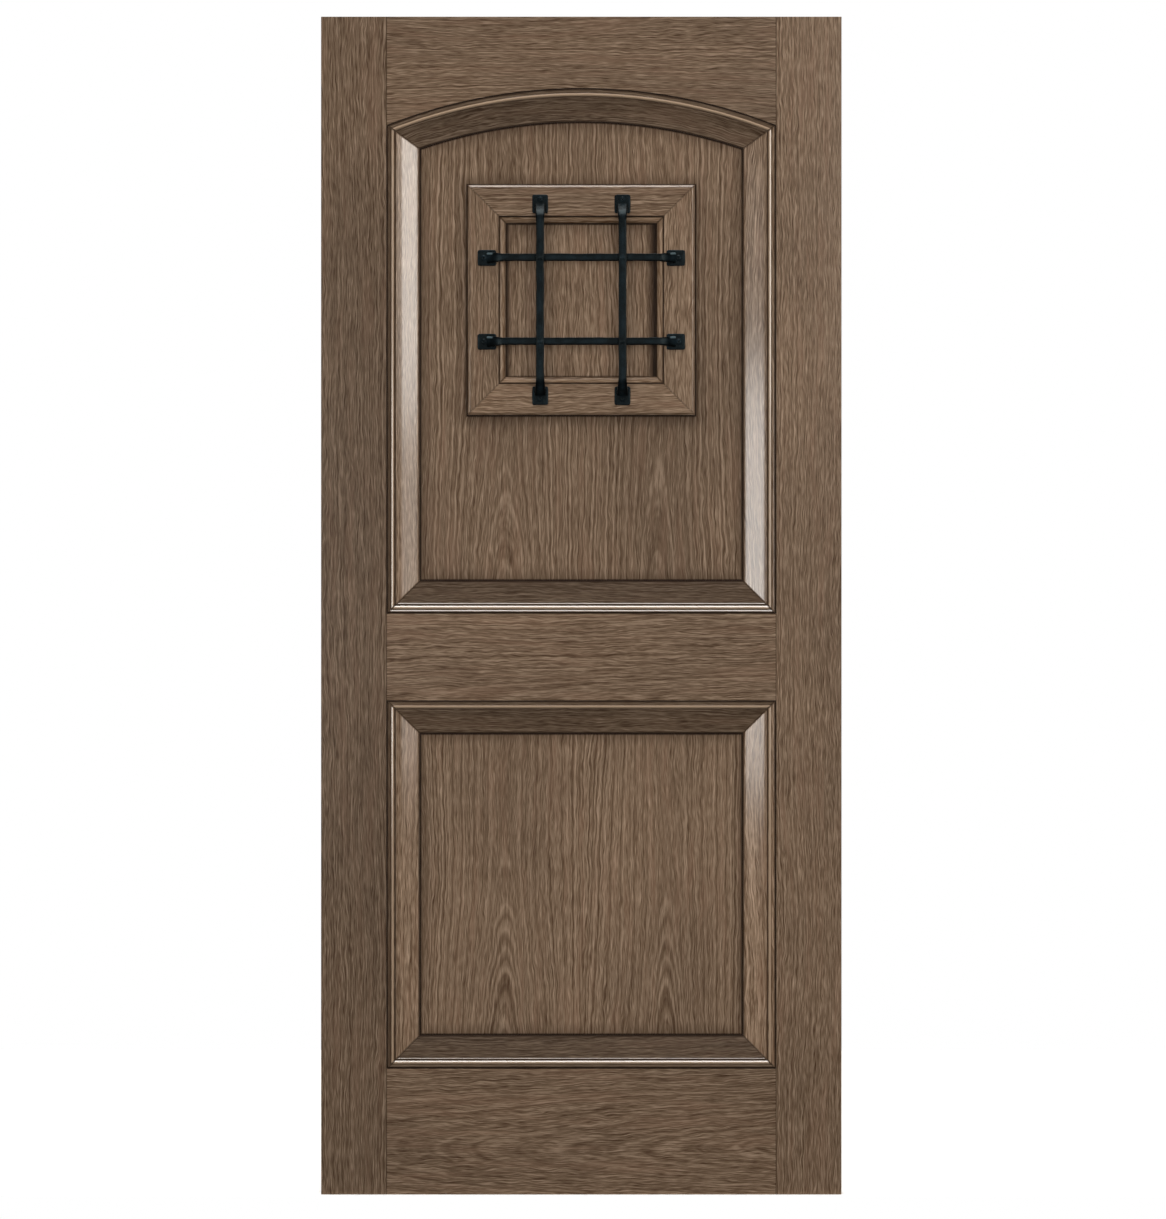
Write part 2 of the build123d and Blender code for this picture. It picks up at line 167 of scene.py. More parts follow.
# Sets a node's inputs: a value goes on the socket itself, and another node's output is wired to it
def feed(tree, node, values):
    for name, value in values.items():
        if isinstance(value, bpy.types.NodeSocket):
            tree.links.new(value, node.inputs[name])
        else:
            node.inputs[name].default_value = value
    return node


# A new node with its settings and its inputs
def put(tree, kind, values=None, **settings):
    node = tree.nodes.new(kind)
    for name, value in settings.items():
        setattr(node, name, value)
    return feed(tree, node, values or {})


# One step of arithmetic on values or outputs
def calc(tree, operation, *values, clamp=False):
    inputs = dict(enumerate(values))
    return put(tree, "ShaderNodeMath", inputs, operation=operation, use_clamp=clamp).outputs[0]


# From the value under to the value over, by share
def blendValue(tree, share, under, over):
    return put(tree, "ShaderNodeMix", {0: share, 2: under, 3: over}, data_type="FLOAT").outputs[0]


# The same for colours; in the mode MULTIPLY the two are multiplied
def blendColour(tree, share, under, over, mode="MIX"):
    values = {0: share, 6: under, 7: over}
    return put(tree, "ShaderNodeMix", values, data_type="RGBA", blend_type=mode).outputs[2]


# Noise stretched along the grain: perMetre holds its scale across and along
def speckle(tree, across, along, perMetre, seed, detail=2.0, roughness=0.55):
    x, y = calc(tree, "MULTIPLY", across, perMetre[0]), calc(tree, "MULTIPLY", along, perMetre[1])
    place = put(tree, "ShaderNodeCombineXYZ", {"X": x, "Y": y, "Z": seed}).outputs[0]
    values = {"Vector": place, "Scale": 1.0, "Detail": detail, "Roughness": roughness}
    return put(tree, "ShaderNodeTexNoise", values).outputs[0]


# Smooth step from low, where the value is at start, to high, where it is at end
def fade(tree, value, start, end, low=0.0, high=1.0):
    values = {"Value": value, "From Min": start, "From Max": end, "To Min": low, "To Max": high}
    return put(tree, "ShaderNodeMapRange", values, interpolation_type="SMOOTHSTEP").outputs[0]


# A noise's distance from its middle, times an amount, added to a base
def swayed(tree, base, noise, amount):
    return calc(tree, "MULTIPLY_ADD", calc(tree, "SUBTRACT", noise, 0.5), amount, base)


# Length of a flat step: the square root of the sum of its two squares
def flatLength(tree, aside, upward):
    squares = calc(tree, "ADD", calc(tree, "MULTIPLY", aside, aside), calc(tree, "MULTIPLY", upward, upward))
    return calc(tree, "SQRT", squares)


# A piece's own dark joints, painted shade and painted highlights, as gridPart gives it
def paintedLightOf(tree):
    return put(tree, "ShaderNodeAttribute", attribute_name="paintedLightAndJoints").outputs["Fac"]


# Surface direction that follows a height
def bumpOf(tree, height, strength, depth):
    return put(tree, "ShaderNodeBump", {"Strength": strength, "Distance": depth, "Height": height}).outputs[0]


# A new material with its tree and its shader
def newMaterial(name):
    material = bpy.data.materials.new(name)
    material.use_nodes = True
    return material, material.node_tree, material.node_tree.nodes["Principled BSDF"]


# PerMetre: scale across and along the grain; Over: where a fade starts and ends
oak = {
    "darkLine": (68, 49, 34), "brown": (97, 78, 61), "tan": (114, 95, 77), "lightLine": (146, 125, 106),
    # The darkest colour is that of dark joints and painted shade; the lightest, that of painted highlights on
    # beads and ovolo
    "rosy": (120, 94, 76), "paintedLightAndJoints": (32, 21, 14), "paintedHighlight": (158, 136, 114),
    "stops": ((0.24, "darkLine"), (0.44, "brown"), (0.56, "tan"), (0.78, "lightLine")),
    "slowBendsPerMetre": (7.0, 1.6), "slowBend": 0.040,
    "quickBendsPerMetre": (60.0, 21.0), "quickBend": 0.0080,
    "ringsPerMetre": 260.0, "figureReach": 0.46, "figureEase": 0.12, "depthShare": 1.3,
    "fibresPerMetre": (560.0, 15.0), "fibreShare": 0.80, "hairsPerMetre": (1500.0, 48.0),
    "patchesPerMetre": (60.0, 5.0), "rosyShare": 0.30, "rosyOver": (0.48, 0.72),
    "cloudsPerMetre": (6.0, 2.5), "cloudShare": 0.10, "cloudOver": (0.3, 0.7),
    "thinDarkening": 0.80, "darkeningOver": (0.35, 0.65),
    "poreOver": (0.30, 0.46), "hairRelief": 0.35, "relief": (0.22, 0.25 * mm),
    "roughness": (0.44, 0.34), "roughOver": (0.3, 0.7), "shine": 0.06,
    "coat": 1.0, "coatOver": (0.05, 0.4), "coatRoughness": 0.11, "coatBending": 1.65,
}


# Grain: rings are noise along the distance from each figure's long, thin ellipse, which runs on
# straight past the figure's reach; fibres and hairs are noise stretched along the board; all run on a
# coordinate that is bent by noise, and each noise has a seed of its own
def oakMaterial(
    name, along="z", mapped=False, seed=0.0, figures=((-0.4, 0.0, 0.02),), tone=1.0, shades=None, polish=1.0,
    ringShare=0.5, fineShare=1.0,
):
    material, tree, shader = newMaterial(name)
    source = put(tree, "ShaderNodeTexCoord").outputs["UV" if mapped else "Object"]
    spot = put(tree, "ShaderNodeSeparateXYZ", {"Vector": source}).outputs
    if mapped:
        length, width = spot["X"], spot["Y"]
    else:
        length, width = (spot["Z"], spot["X"]) if along == "z" else (spot["X"], spot["Z"])
        width = calc(tree, "MULTIPLY_ADD", spot["Y"], oak["depthShare"], width)  # so the edges show grain too
    slowBend = speckle(tree, width, length, oak["slowBendsPerMetre"], seed, 1.0)
    quickBend = speckle(tree, width, length, oak["quickBendsPerMetre"], seed + 3.1, 1.0)
    bent = swayed(tree, swayed(tree, width, slowBend, oak["slowBend"]), quickBend, oak["quickBend"])

    ringPlace = None
    for centreAcross, centreAlong, slope in figures:
        aside = calc(tree, "SUBTRACT", bent, centreAcross)
        past = calc(tree, "SUBTRACT", length, centreAlong)
        reached = calc(tree, "SMOOTH_MIN", past, oak["figureReach"], oak["figureEase"])
        distance = flatLength(tree, aside, calc(tree, "MULTIPLY", reached, slope))
        ringPlace = distance if ringPlace is None else calc(tree, "MINIMUM", ringPlace, distance)
    ringValues = {"W": calc(tree, "MULTIPLY_ADD", ringPlace, oak["ringsPerMetre"], seed * 7.7), "Scale": 1.0}
    ringValues |= {"Detail": 2.0, "Roughness": 0.6}
    rings = put(tree, "ShaderNodeTexNoise", ringValues, noise_dimensions="1D").outputs[0]

    fibre = speckle(tree, bent, length, oak["fibresPerMetre"], seed + 11.0, 3.0, 0.6)
    hair = speckle(tree, bent, length, oak["hairsPerMetre"], seed + 23.0, 1.0)
    streak = swayed(tree, 0.5, rings, ringShare)
    streak = swayed(tree, streak, fibre, oak["fibreShare"] * fineShare)
    streak = swayed(tree, streak, hair, fineShare)
    ramp = put(tree, "ShaderNodeValToRGB", {"Fac": streak})
    for between in (0.4, 0.6):
        ramp.color_ramp.elements.new(between)
    for element, (place, shade) in zip(ramp.color_ramp.elements, oak["stops"]):
        element.position = place
        element.color = paint(*oak[shade])
    patch = speckle(tree, bent, length, oak["patchesPerMetre"], seed + 31.0)
    rosy = fade(tree, patch, *oak["rosyOver"], 0.0, oak["rosyShare"])
    colour = blendColour(tree, rosy, ramp.outputs[0], paint(*oak["rosy"]))
    cloud = speckle(tree, width, length, oak["cloudsPerMetre"], seed + 41.0)
    darkest, lightest = (1 - oak["cloudShare"]) * tone, (1 + oak["cloudShare"]) * tone
    level = fade(tree, cloud, *oak["cloudOver"], darkest, lightest)
    grey = put(tree, "ShaderNodeCombineXYZ", {"X": level, "Y": level, "Z": level}).outputs[0]
    colour = blendColour(tree, 1.0, colour, grey, "MULTIPLY")

    # Darkening toward the darkest colour: dark joints and painted shade, taken less by light fibres
    paintedLightAndJoints = shades(tree, spot) if shades else paintedLightOf(tree)
    taken = fade(tree, fibre, *oak["darkeningOver"], oak["thinDarkening"], 1.0)
    darkening = calc(tree, "MULTIPLY", paintedLightAndJoints, taken, clamp=True)
    colour = blendColour(tree, darkening, colour, paint(*oak["paintedLightAndJoints"]))
    # Below 0 the value lightens toward a painted highlight
    highlightShare = calc(tree, "MULTIPLY", paintedLightAndJoints, -1.0, clamp=True)
    colour = blendColour(tree, highlightShare, colour, paint(*oak["paintedHighlight"]))

    relief = calc(tree, "MULTIPLY_ADD", hair, oak["hairRelief"], fade(tree, fibre, *oak["poreOver"]))
    finish = {"Base Color": colour, "Normal": bumpOf(tree, relief, *oak["relief"])}
    finish["Roughness"] = fade(tree, fibre, *oak["roughOver"], *oak["roughness"])
    finish["Specular IOR Level"] = oak["shine"] * polish
    finish["Coat Weight"] = fade(tree, darkening, *oak["coatOver"], oak["coat"] * polish, 0.0)
    finish |= {"Coat Roughness": oak["coatRoughness"], "Coat IOR": oak["coatBending"]}
    feed(tree, shader, finish)
    return material


# Darkening on the flat boards, as dark joints and as painted shade and shadow: full up to the first distance
# in mm, gone at the second, and its depth
darkeningAt = {
    "joint": (0.0, 1.5, 0.75),
    "corner": (0.0, 26, 0.44),
    "quirk": (0.5, 4.4, 0.72),
    "shutterHeadAndFoot": (0.0, 3.5, 0.8),
    "shutterHead": (0.0, 34, 0.25),
    "shutterLeft": (0.0, 12, 0.97),
    "shutterRight": (1.5, 23, 1.12),
    "shutterFront": (0.5, 1.5, 1.0),
}


# Depth of the darkening at a distance in metres, smoothly between the two distances of its kind
def darkeningOf(tree, distance, kind):
    start, end, depth = darkeningAt[kind]
    return fade(tree, distance, start * mm, end * mm, depth, 0.0)


# Thin dark lines where the rails meet the stiles
def jointShades(tree, spot):
    sides = []
    for edge in (openingLeft, openingRight):
        away = calc(tree, "ABSOLUTE", calc(tree, "SUBTRACT", spot["X"], edge))
        sides.append(darkeningOf(tree, away, "joint"))
    return calc(tree, "MAXIMUM", *sides)


# Distance out of a rectangle, negative inside it: the larger of the two overhangs
def rectangleDistance(tree, spot, low, high):
    overhangs = []
    for axis, index in (("X", 0), ("Z", 2)):
        middle, half = float(low[index] + high[index]) / 2, float(high[index] - low[index]) / 2
        away = calc(tree, "ABSOLUTE", calc(tree, "SUBTRACT", spot[axis], middle))
        overhangs.append(calc(tree, "SUBTRACT", away, half))
    return calc(tree, "MAXIMUM", *overhangs)


# Painted shade at the foot of a step: a wide soft shade and a narrow deep one
def paintedCornerShade(tree, distance):
    return calc(tree, "ADD", darkeningOf(tree, distance, "corner"), darkeningOf(tree, distance, "quirk"))


# Distance from the mouldings' inner edges into the field that they frame
def fieldDistance(tree, spot, foot, head):
    low = np.array([openingLeft + mouldingWidth, 0, foot + mouldingWidth])
    high = np.array([openingRight - mouldingWidth, 0, head])
    return calc(tree, "MULTIPLY", rectangleDistance(tree, spot, low, high), -1.0)


# Painted shade along the mouldings of the lower panel
def lowerFieldPaintedShade(tree, spot):
    return paintedCornerShade(tree, fieldDistance(tree, spot, lowerFoot, lowerHead - mouldingWidth))


# Painted shade along the mouldings of the upper panel, whose head is a circle about the arch's centre, and
# round the hatch casing
def upperFieldPaintedShade(tree, spot):
    inside = fieldDistance(tree, spot, upperFoot, crown)
    aside = calc(tree, "SUBTRACT", spot["X"], float(arch["centre"][0]))
    upward = calc(tree, "SUBTRACT", spot["Z"], float(arch["centre"][1]))
    archInside = float(arch["radius"] - mouldingWidth)
    underArch = calc(tree, "SUBTRACT", archInside, flatLength(tree, aside, upward))
    atEdges = paintedCornerShade(tree, calc(tree, "MINIMUM", inside, underArch))
    return calc(tree, "MAXIMUM", atEdges, paintedCornerShade(tree, rectangleDistance(tree, spot, trimLow, trimHigh)))


# Painted shadow on the shutter's front where the stop beads frame it, deepest along the sides
def shutterPaintedShadow(tree, spot):
    low, high = stopLow + stop["width"] * mm, stopHigh - stop["width"] * mm
    left, foot = (calc(tree, "SUBTRACT", spot[axis], float(low[i])) for axis, i in (("X", 0), ("Z", 2)))
    right, head = (calc(tree, "SUBTRACT", float(high[i]), spot[axis]) for axis, i in (("X", 0), ("Z", 2)))
    narrow = darkeningOf(tree, calc(tree, "MINIMUM", foot, head), "shutterHeadAndFoot")
    level = calc(tree, "ADD", narrow, darkeningOf(tree, head, "shutterHead"))
    upright = calc(tree, "MAXIMUM", darkeningOf(tree, left, "shutterLeft"), darkeningOf(tree, right, "shutterRight"))
    behind = calc(tree, "SUBTRACT", spot["Y"], float(boxOf("hatch_shutter")[0, 1]))
    return calc(tree, "MULTIPLY", darkeningOf(tree, behind, "shutterFront"), calc(tree, "MAXIMUM", level, upright))


iron = {
    # The edge colour is that of the painted shade on the bars' sides, the pads and the screw sockets; the
    # lightest colour is that of the painted highlight on the legs
    "black": (10, 14, 16), "blue": (22, 31, 36), "edge": (5, 7, 8), "paintedHighlight": (78, 92, 97),
    "cloudsPerMetre": 55.0, "dentsPerMetre": 130.0, "skinPerMetre": 900.0,
    "blueOver": (0.35, 0.68),
    "skinRelief": 0.12,
    "relief": (0.22, 0.9 * mm),
    "roughness": (0.24, 0.40),
    "roughOver": (0.3, 0.7),
    "shine": 0.105,
    "shineTint": (0.74, 0.94, 1.0, 1.0),
}


# Forged iron: colour and roughness from noise, dents from two sizes of noise as bump
def ironMaterial(name, seed):
    material, tree, shader = newMaterial(name)
    spot = put(tree, "ShaderNodeMapping", {"Vector": put(tree, "ShaderNodeTexCoord").outputs["Object"]})
    spot.inputs["Location"].default_value = (seed, seed * 0.7, -seed)

    # Plain noise
    def dents(perMetre, detail):
        values = {"Vector": spot.outputs[0], "Scale": perMetre, "Detail": detail}
        return put(tree, "ShaderNodeTexNoise", values).outputs[0]

    cloud, hammer = dents(iron["cloudsPerMetre"], 3.0), dents(iron["dentsPerMetre"], 1.0)
    skin = dents(iron["skinPerMetre"], 3.0)
    bluish = fade(tree, cloud, *iron["blueOver"])
    colour = blendColour(tree, bluish, paint(*iron["black"]), paint(*iron["blue"]))
    # Painted shade toward the edge colour, and below 0 a painted highlight toward a light colour
    paintedLightAndJoints = paintedLightOf(tree)
    colour = blendColour(tree, calc(tree, "MAXIMUM", paintedLightAndJoints, 0.0), colour, paint(*iron["edge"]))
    highlightShare = calc(tree, "MULTIPLY", paintedLightAndJoints, -1.0, clamp=True)
    colour = blendColour(tree, highlightShare, colour, paint(*iron["paintedHighlight"]))
    height = calc(tree, "MULTIPLY_ADD", skin, iron["skinRelief"], hammer)
    finish = {"Base Color": colour, "Normal": bumpOf(tree, height, *iron["relief"])}
    finish["Roughness"] = fade(tree, skin, *iron["roughOver"], *iron["roughness"])
    finish |= {"Specular IOR Level": iron["shine"], "Specular Tint": iron["shineTint"]}
    feed(tree, shader, finish)
    return material


stop = {
    "edge": 0.03, "width": 12.0, "depth": 10.5, "nosing": 5.0, "bulge": 1.4, "steps": 12,
    "ease": (0.5, 0.6), "headGap": 0.1,
    # Painted shade along both edges of the stop bead, at the casing and at the shutter
    "paintedLightAndJoints": ((0.0, 1.5, 2.9, 8.0, 10.6, 11.7), (0.98, 0.98, -0.1, 0.0, 0.4, 0.95)),  # places, depths
    "slot": "oak_hatch", "tone": 1.2, "polish": 0.08, "seeds": (160, 5.3),
    "figures": ((-0.03, 0.1, 0.02),),
}

# Flat boards keep their CAD meshes; a figure is its place across and along the grain, and its slenderness
# Tone is each board's lightness, partly painted light and shade: the left stile darker and the right stile
# lighter, as the light falls
stileLook = {"along": "z", "shades": jointShades}
railLook = {"along": "x", "shades": jointShades}
boards = {
    "left_stile": stileLook | {"seed": 1.3, "figures": ((-0.16, 0.4, 0.03),), "tone": 0.83},
    "right_stile": stileLook | {"seed": 5.9, "figures": ((1.08, 0.6, 0.03),), "tone": 1.12},
    "top_rail": railLook | {"seed": 9.2, "figures": ((1.66, 0.3, 0.05),), "tone": 0.90},
    "lock_rail": railLook | {"seed": 14.4, "figures": ((0.83, 0.95, 0.06),), "tone": 1.075},
    "bottom_rail": railLook | {"seed": 20.6, "figures": ((0.055, 0.9, 0.10),), "tone": 0.985},
    "lower_panel": {
        "seed": 26.1, "figures": ((0.309, 0.10, 0.11), (0.585, 0.05, 0.10)), "tone": 1.19,
        "ringShare": 0.76, "fineShare": 0.84, "shades": lowerFieldPaintedShade,
    },
    "upper_panel": {
        "seed": 33.8, "figures": ((0.304, 0.80, 0.10), (0.575, 0.78, 0.09)), "tone": 1.05,
        "ringShare": 0.64, "fineShare": 0.84, "shades": upperFieldPaintedShade,
    },
    "hatch_shutter": {"seed": 39.5, "figures": ((0.41, 1.1, 0.04),), "shades": shutterPaintedShadow, "tone": 1.19},
    "hatch_liner_sides": {"seed": 44.7, "tone": 0.9},
    "hatch_liner_cross": {"along": "x", "seed": 47.1, "tone": 0.9},
}
for node, look in boards.items():
    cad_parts[node].material_slots[0].material = oakMaterial("oak " + node.replace("_", " "), **look)
print("oak boards finished:", len(boards))


# A swept oak piece in its node's place, mapped along its run, its seed moved on by a step for each piece
def sweptOak(name, parts, source, seeds, index, **look):
    start, step = source[seeds]
    look |= {"mapped": True, "seed": start + step * index, "figures": source["figures"]}
    material = oakMaterial("oak " + name.replace("_", " "), **look)
    makePiece(name + "_dressed", parts, material, "leaf", [name])


# Sides that share a piece where two of them are joined
pairs = {"sides": ("left", "right"), "cross": ("top", "bottom")}

# In mm; painted light: place across, then the depth of painted shade in quirks and creases on a left, a right
# and a level run, and below 0 a painted highlight on beads and ovolo; look: tone, which paints the sides
# lighter and the heads and feet darker as the light falls, and polish
moulding = {
    "mitreGap": 0.2,
    "quirkWidth": 2.3,
    "floor": 11.0,
    "ovolo": ((2.3, 13.4), (3.9, 13.4), (7.9, 11.2)),
    "bead": ((8.2, 11.0), (8.4, 13.45), (11.1, 14.0), (13.8, 12.2), (14.0, 11.0)),
    "filletStart": 15.3, "filletEnd": 17.3, "filletHeight": 12.2,
    "ease": ((0, 0.3, 0.3, 0.4, 0.6, 0.2), (0.1, 0.25, 0.4, 0.3, 0.1), (0.3, 0.35, 0.4)),
    "lip": 1.5, "stepEnd": 18.1, "stepHeight": 11.5, "coveSag": 1.6, "coveSteps": 21,
    "archSteps": 97, "archSlack": 20.0,
    "paintedLightAndJoints": (
        (0.3, 0.95, 0.95, 0.95), (2.2, 0.95, 0.95, 0.9), (3.0, 0.85, 0.6, 0.6),
        (3.9, 0.75, 0.2, 0.2), (5.0, 0.7, -0.1, -0.4), (7.0, 0.75, -0.1, -0.5), (7.9, 0.9, 0.35, 0),
        (8.4, 0, 0, 0), (9.0, -0.8, -1, -1), (12.9, -0.8, -1, -1), (13.5, 0.98, 0.7, -0.4),
        (15.2, 0.98, 0.95, 0.9), (16.0, 0.45, 0.4, 0.3), (17.2, 0.1, 0.1, 0), (20, 0.1, 0.1, 0.1),
        (27, 0.03, 0.03, 0.05), (32, 0, 0, 0),
        (53.6, 0.05, 0.05, 0.05), (55, 0.8, 0.8, 0.8), (57, 0.98, 0.98, 0.98),
    ),
    "mitreGlaze": 0.6,
    "mitreReach": 0.9,
    "look": {
        "upper": {"left": (1.36, 0.84), "right": (1.13, 0.86), "top": (0.68, 1.0), "bottom": (0.55, 1.0)},
        "lower": {"left": (1.56, 1.0), "right": (1.50, 0.64), "top": (0.76, 1.0), "bottom": (0.55, 1.0)},
    },
    "slot": "oak_moulding", "frontSeeds": (50, 3.7), "backSeeds": (90, 4.3),
    "figures": ((-0.05, 0.3, 0.03),),
}
halfGap, near = moulding["mitreGap"] * mm / 2, moulding["mitreReach"] * mm


# Panel moulding: quirk, ovolo, ridged bead, quirk, fillet and a cove that sags below its chord as a parabola
def mouldingProfile():
    m, width = moulding, mouldingWidth / mm
    t = np.linspace(0, 1, m["coveSteps"] + 1)[:-1]
    across = m["stepEnd"] + (width - m["stepEnd"]) * t
    height = m["stepHeight"] + (m["lip"] - m["stepHeight"]) * t - 4 * m["coveSag"] * t * (1 - t)
    outer = [(fit, 0), (fit, m["floor"]), (m["quirkWidth"], m["floor"]), *m["ovolo"]]
    fillet = [(m["filletStart"], m["filletHeight"]), (m["filletEnd"], m["filletHeight"])]
    cove = np.stack([across, height], axis=1)
    inner = [(width, m["lip"]), (width, 0)]
    corners = np.concatenate([outer, m["bead"], [(m["filletStart"], m["floor"])], fillet, cove, inner])
    ease = np.concatenate([*m["ease"], np.zeros(len(t)), (m["ease"][-1][0], 0)])
    return easedOutline(corners, ease) * mm


# A profile carried straight between two mitres: a place is the outer line plus the width inwards, and
# runs from the first mitre line to the second, each of them straight from outer to inner corner
def straightRun(profile, width, ends, seat, facing):
    outerStart, innerStart, outerEnd, innerEnd = (np.array(point) for point in ends)
    length = np.linalg.norm(outerEnd - outerStart)
    forward = (outerEnd - outerStart) / length
    lean = (innerStart - outerStart) @ forward
    inward = (innerStart - outerStart - lean * forward) / width
    share = profile[:, 0] / width
    begin = share * lean + halfGap
    finish = length + share * ((innerEnd - outerEnd) @ forward) - halfGap
    along = np.stack([begin, begin + near, begin + 3 * near, finish - 3 * near, finish - near, finish])
    flat = outerStart + along[..., None] * forward + profile[:, 0, None] * inward
    out = np.broadcast_to(seat + facing * profile[:, 1], along.shape)
    return np.stack([flat[..., 0], out, flat[..., 1]], axis=-1), grainMap(along, profile)


# Grain map: distance along the run, and distance round the profile from its first corner
def grainMap(along, profile):
    steps = np.linalg.norm(np.diff(profile, axis=0, prepend=profile[:1]), axis=1)
    return np.stack([along, np.broadcast_to(np.cumsum(steps), along.shape)], axis=-1)


# The profile carried round the arch: each point keeps its own circle about the arch's centre, between
# the angles where that circle meets the mitre lines
def archRun(profile, width, seat, facing):
    step = near / (arch["halfSpan"] + moulding["archSlack"] * mm)  # as a share of the half arch
    outer = np.array([openingLeft + halfGap, springing]) - arch["centre"]
    inner = np.array([openingLeft + halfGap + width, archShoulder(width)]) - arch["centre"]
    slope, radius = inner - outer, arch["radius"] - profile[:, 0]
    half, product = slope @ slope, outer @ slope
    share = (-product - np.sqrt(product**2 - half * (outer @ outer - radius**2))) / half
    meeting = outer + share[:, None] * slope
    leftAngle = np.arctan2(meeting[:, 0], meeting[:, 1])
    middle = np.linspace(1 - 3 * step, 3 * step - 1, moulding["archSteps"])
    angle = leftAngle * np.concatenate([[1, 1 - step], middle, [step - 1, -1]])[:, None]
    x = arch["centre"][0] + radius * np.sin(angle)
    z = arch["centre"][1] + radius * np.cos(angle)
    out = np.broadcast_to(seat + facing * profile[:, 1], angle.shape)
    return np.stack([x, out, z], axis=-1), grainMap(angle * arch["radius"], profile)


# Height at which the arch's inner circle meets the inner edge of the side mouldings
def archShoulder(width):
    return arch["centre"][1] + np.sqrt((arch["radius"] - width) ** 2 - (arch["halfSpan"] - width) ** 2)


# Corners of a mitred frame, as outer and inner pairs round a rectangle whose inner head may be lower
def frameSides(left, right, foot, head, width, innerHead=None):
    innerHead = head - width if innerHead is None else innerHead
    outer = [(left, foot), (right, foot), (right, head), (left, head)]
    inner = [(left + width, foot + width), (right - width, foot + width)]
    inner += [(right - width, innerHead), (left + width, innerHead)]
    ends = [(outer[i], inner[i], outer[(i + 1) % 4], inner[(i + 1) % 4]) for i in range(4)]
    return dict(zip(("bottom", "right", "top", "left"), ends))


# The darkening of a run: the painted light of its profile, and dark mitre joints in the first and last few
# tenths
def withMitres(profilePaintedLight, rows, depth=moulding["mitreGlaze"]):
    atEnds = np.full(rows, -1.0)
    atEnds[[0, 1, -2, -1]] = depth
    return np.maximum(profilePaintedLight[None, :], atEnds[:, None])


mouldingOutline = mouldingProfile()
paintedLightPlaces, *paintedLightDepths = np.array(moulding["paintedLightAndJoints"]).T
mouldingPaintedLight = {
    kind: np.interp(mouldingOutline[:, 0] / mm, paintedLightPlaces, depths)
    for kind, depths in zip(("left", "right", "level"), paintedLightDepths)
}
shoulder = archShoulder(mouldingWidth)
mouldingSides = {
    "upper": frameSides(openingLeft, openingRight, upperFoot, springing, mouldingWidth, shoulder),
    "lower": frameSides(openingLeft, openingRight, lowerFoot, lowerHead, mouldingWidth),
}


# One moulding: the head of the upper panel's frame follows the arch, and all others run straight
def mouldingPart(place, side, seat, facing):
    if (place, side) == ("upper", "top"):
        places, grain = archRun(mouldingOutline, mouldingWidth, seat, facing)
    else:
        places, grain = straightRun(mouldingOutline, mouldingWidth, mouldingSides[place][side], seat, facing)
    paintedLightAndJoints = mouldingPaintedLight[side if side in pairs["sides"] else "level"]
    return gridPart(places, grain, withMitres(paintedLightAndJoints, len(places)))


for index, (place, side) in enumerate((p, s) for p in moulding["look"] for s in moulding["look"][p]):
    name = "front_" + place + "_moulding_" + side
    tone, polish = moulding["look"][place][side]
    part = mouldingPart(place, side, panelFace[0], -1)
    sweptOak(name, [part], moulding, "frontSeeds", index, tone=tone, polish=polish)

for index, (place, pair) in enumerate((p, s) for p in moulding["look"] for s in pairs):
    name = "back_" + place + "_moulding_" + pair
    parts = [mouldingPart(place, side, panelFace[1], 1) for side in pairs[pair]]
    sweptOak(name, parts, moulding, "backSeeds", index)
print("mouldings swept")

# In mm; painted shade lies at the foot of the casing's edges and along its inner arris; tone by side is
# partly painted light and shade
trim = {
    "thickness": 14.0, "chamfer": 3.5, "frontWidth": 54.0, "backWidth": 44.7, "ease": 0.5,
    "footPaintedShade": ((0, 2.5, 9), (0.9, 0.35, 0.0)),
    "arris": (1.6, 0.9),
    "arrisPaintedShade": (0.9, 0.98),
    "mitreGlaze": 0.35,
    "tone": {"left": 1.03, "right": 1.22, "top": 1.0, "bottom": 1.26},
    "slot": "oak_hatch", "frontSeeds": (120, 3.3), "backSeeds": (140, 3.9),
    "figures": ((-0.08, 0.1, 0.05),),
}


# Flat casing: a rectangle with its outer corner cut off, all corners eased
def trimProfile(width):
    face, cut = trim["thickness"], trim["chamfer"]
    corners = [(0, 0), (0, face - cut), (cut, face), (width - trim["arris"][0], face), (width, face)]
    return easedOutline(corners + [(width, 0)], [0, trim["ease"], trim["ease"], 0, trim["ease"], 0]) * mm


# Casing boards of some sides, with painted shade by their height and by their distance from the inner edge
def trimParts(sides, width, seat, facing):
    section = trimProfile(width)
    depth = np.interp(section[:, 1] / mm, *trim["footPaintedShade"])
    nearArris = (0, *(width - inset for inset in trim["arris"]), width)
    depth += np.interp(section[:, 0] / mm, nearArris, (0, 0, *trim["arrisPaintedShade"]))
    around = frameSides(trimLow[0], trimHigh[0], trimLow[2], trimHigh[2], width * mm)
    runs = [straightRun(section, width * mm, around[side], seat, facing) for side in sides]
    paintedLightAndJoints = withMitres(np.clip(depth, 0, 1), len(runs[0][0]), trim["mitreGlaze"])
    return [gridPart(places, grain, paintedLightAndJoints) for places, grain in runs]


for index, (side, tone) in enumerate(trim["tone"].items()):
    name = "hatch_trim_" + side
    parts = trimParts([side], trim["frontWidth"], panelFace[0], -1)
    sweptOak(name, parts, trim, "frontSeeds", index, tone=tone)
for index, (pair, sides) in enumerate(pairs.items()):
    name = "back_hatch_trim_" + pair
    parts = trimParts(sides, trim["backWidth"], panelFace[1], 1)
    sweptOak(name, parts, trim, "backSeeds", index)


